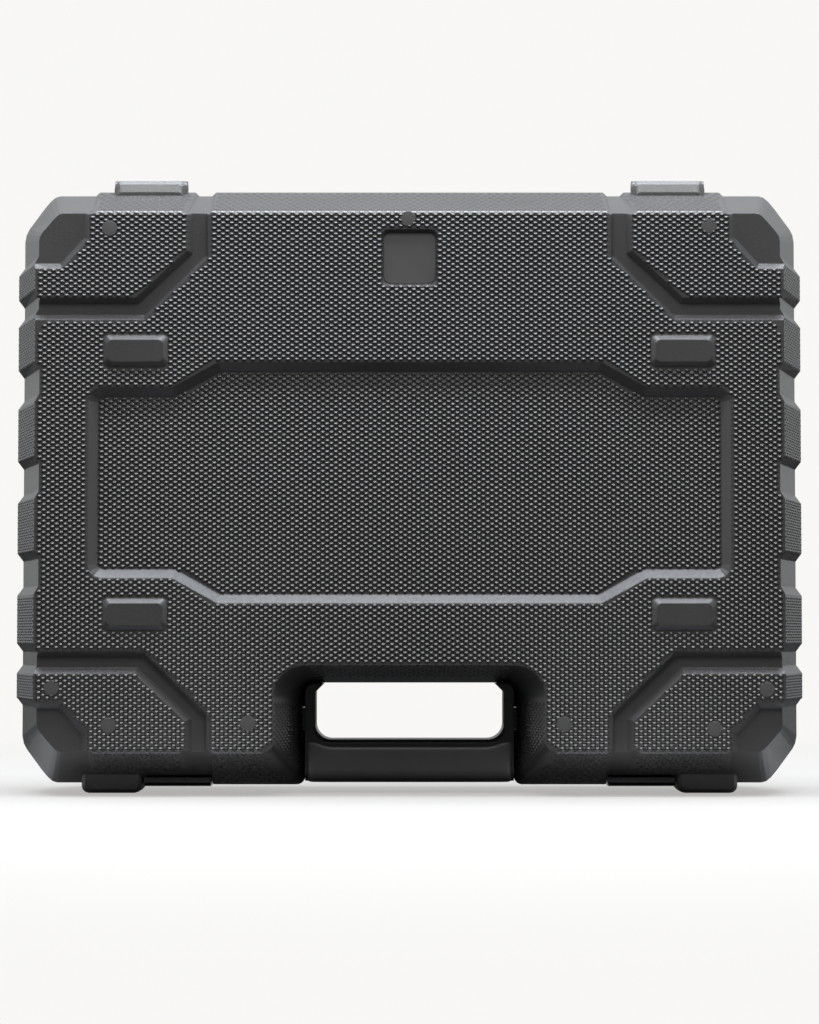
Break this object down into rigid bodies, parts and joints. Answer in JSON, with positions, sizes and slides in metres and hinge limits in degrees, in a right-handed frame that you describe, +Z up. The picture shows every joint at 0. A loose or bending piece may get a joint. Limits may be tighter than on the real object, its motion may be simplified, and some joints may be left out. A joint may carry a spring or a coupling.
{
  "type": "hard tool case",
  "caption": "Blow-moulded hard carrying case for tools, with a hinged lid, snap latches, a grip in a hand notch and storage bays inside.",
  "frame": {"origin": "on the floor under the middle of the case's box, where its feet rest, midway between the outer faces", "axes": "+X across the width to the right as seen on the base half, +Y from the base half to the lid half, +Z up with the grip at the bottom and the hinges at the top"},
  "size_m": [0.4306, 0.118, 0.336],
  "materials": {
    "moulded_plastic": "blow-moulded polyethylene with a fine knurled grain on its raised pads and smooth grooves",
    "grip_plastic": "smooth black moulded plastic, satin",
    "latch_plastic": "glossy black moulded plastic",
    "pin_steel": "plain drawn steel"
  },
  "bodies": {
    "base": {"base_shell": "moulded_plastic", "grip": "grip_plastic", "hinge_pin_left": "pin_steel", "hinge_pin_right": "pin_steel"},
    "lid": {"lid_shell": "moulded_plastic", "latch_pin_left": "pin_steel", "latch_pin_right": "pin_steel"},
    "left_latch": {"latch_left": "latch_plastic"},
    "right_latch": {"latch_right": "latch_plastic"}
  },
  "joints": [
    {"name": "lid_hinge", "type": "hinge", "parent": "base", "child": "lid", "pos_m": [0, 0, 0.3315], "axis": [1, 0, 0], "range_deg": [0, 180]},
    {"name": "left_latch_pivot", "type": "hinge", "parent": "lid", "child": "left_latch", "pos_m": [-0.1261, 0.007, 0.01], "axis": [1, 0, 0], "range_deg": [0, 90]},
    {"name": "right_latch_pivot", "type": "hinge", "parent": "lid", "child": "right_latch", "pos_m": [0.1261, 0.007, 0.01], "axis": [1, 0, 0], "range_deg": [0, 90]}
  ]
}
